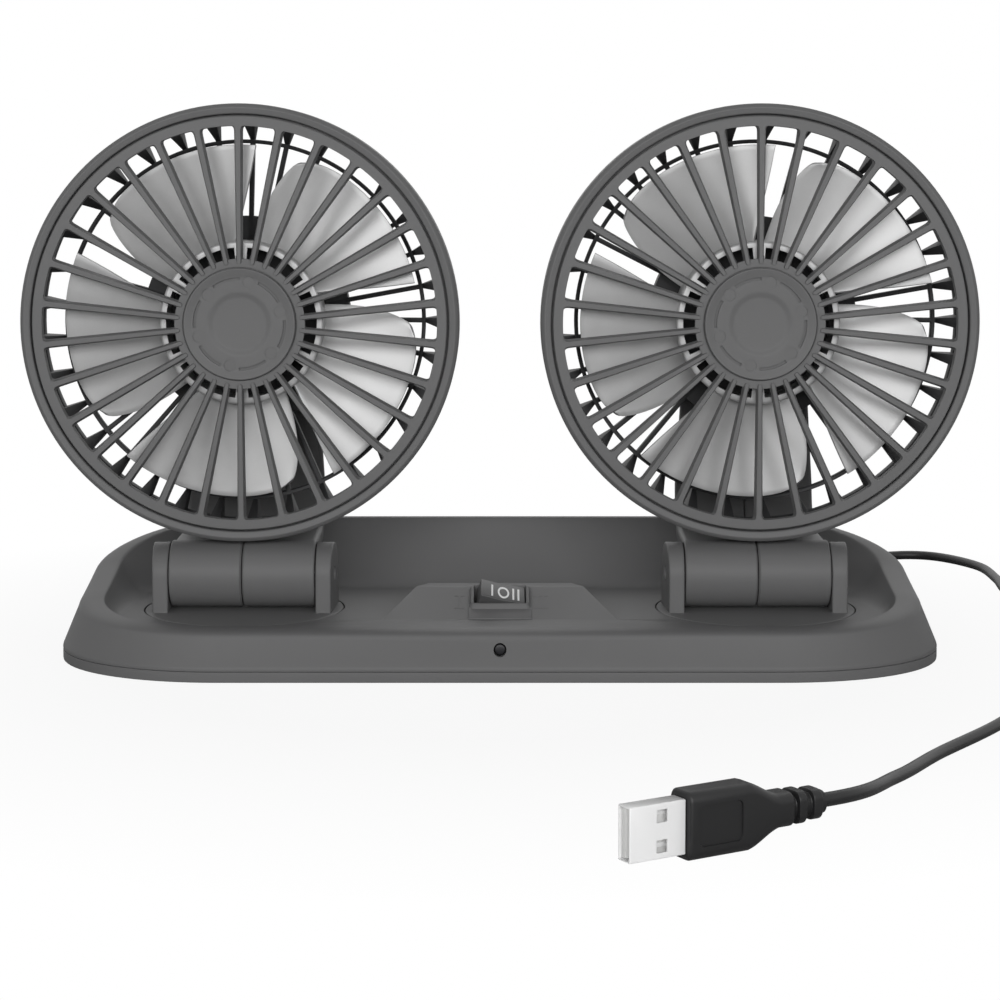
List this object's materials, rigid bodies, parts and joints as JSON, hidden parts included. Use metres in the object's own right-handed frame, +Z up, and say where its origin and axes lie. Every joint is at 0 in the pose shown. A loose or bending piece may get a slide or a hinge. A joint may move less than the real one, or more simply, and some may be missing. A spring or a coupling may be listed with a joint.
{
  "type": "dual head car fan",
  "caption": "Dual head car fan: ribbed round heads on swivelling, tilting arms over a long oval base, with a rocker switch and a coiled lead.",
  "frame": {"origin": "on the table, under the middle of the base", "axes": "+X along the base to the right of someone who faces the fans, +Y to the back, +Z up; the fans blow towards -Y"},
  "size_m": [0.3595, 0.4023, 0.1655],
  "materials": {
    "grey_plastic": "satin grey moulding",
    "black_plastic": "matte black moulding",
    "silver_plastic": "silver-grey satin moulding",
    "rubber": "matte",
    "cord_rubber": "satin cord jacket",
    "steel": "plain",
    "plug_steel": "bright plated sheet",
    "green_board": "lacquered board",
    "smoked_lens": "dark clear lens",
    "white_plastic": "plain"
  },
  "bodies": {
    "base": {"base_top_shell": "grey_plastic", "base_bottom_cover": "grey_plastic", "rubber_foot_1": "rubber", "cover_screw_1": "steel", "rubber_foot_2": "rubber", "cover_screw_2": "steel", "rubber_foot_3": "rubber", "cover_screw_3": "steel", "rubber_foot_4": "rubber", "cover_screw_4": "steel", "switch_housing": "grey_plastic", "indicator_light": "smoked_lens", "speed_board": "green_board", "cord_strain_relief": "cord_rubber", "cord_lead": "cord_rubber", "cord_coil": "cord_rubber", "cord_tail": "cord_rubber", "cord_tie": "cord_rubber", "plug_overmould": "cord_rubber", "plug_shell": "plug_steel", "plug_tongue": "white_plastic"},
    "rocker": {"rocker": "grey_plastic"},
    "left_turntable": {"left_turntable": "grey_plastic", "left_turntable_clip": "steel", "left_hinge_pin": "steel"},
    "left_head": {"left_arm_left_half": "grey_plastic", "left_arm_right_half": "grey_plastic", "left_rim_ring": "grey_plastic", "left_front_grille": "grey_plastic", "left_hub_cap": "grey_plastic", "left_rear_guard": "black_plastic", "left_motor_cover": "black_plastic", "left_motor_can": "steel"},
    "left_fan": {"left_motor_shaft": "steel", "left_impeller": "silver_plastic"},
    "right_turntable": {"right_turntable": "grey_plastic", "right_turntable_clip": "steel", "right_hinge_pin": "steel"},
    "right_head": {"right_arm_left_half": "grey_plastic", "right_arm_right_half": "grey_plastic", "right_rim_ring": "grey_plastic", "right_front_grille": "grey_plastic", "right_hub_cap": "grey_plastic", "right_rear_guard": "black_plastic", "right_motor_cover": "black_plastic", "right_motor_can": "steel"},
    "right_fan": {"right_motor_shaft": "steel", "right_impeller": "silver_plastic"}
  },
  "joints": [
    {"name": "rocker_press", "type": "hinge", "parent": "base", "child": "rocker", "pos_m": [0, -0.01828, 0.01696], "axis": [0, 0.9355, 0.3534], "range_deg": [-26, 0]},
    {"name": "left_swivel", "type": "hinge", "parent": "base", "child": "left_turntable", "pos_m": [-0.07705, -0.01, 0.014], "axis": [0, 0, 1], "range_deg": [-175, 175]},
    {"name": "left_tilt", "type": "hinge", "parent": "left_turntable", "child": "left_head", "pos_m": [-0.07705, -0.01, 0.0245], "axis": [1, 0, 0], "range_deg": [-15, 60]},
    {"name": "left_fan_spin", "type": "hinge", "parent": "left_head", "child": "left_fan", "pos_m": [-0.07705, -0.019, 0.1003], "axis": [0, 1, 0], "continuous": true},
    {"name": "right_swivel", "type": "hinge", "parent": "base", "child": "right_turntable", "pos_m": [0.07705, -0.01, 0.014], "axis": [0, 0, 1], "range_deg": [-175, 175]},
    {"name": "right_tilt", "type": "hinge", "parent": "right_turntable", "child": "right_head", "pos_m": [0.07705, -0.01, 0.0245], "axis": [1, 0, 0], "range_deg": [-15, 60]},
    {"name": "right_fan_spin", "type": "hinge", "parent": "right_head", "child": "right_fan", "pos_m": [0.07705, -0.019, 0.1003], "axis": [0, 1, 0], "continuous": true}
  ]
}
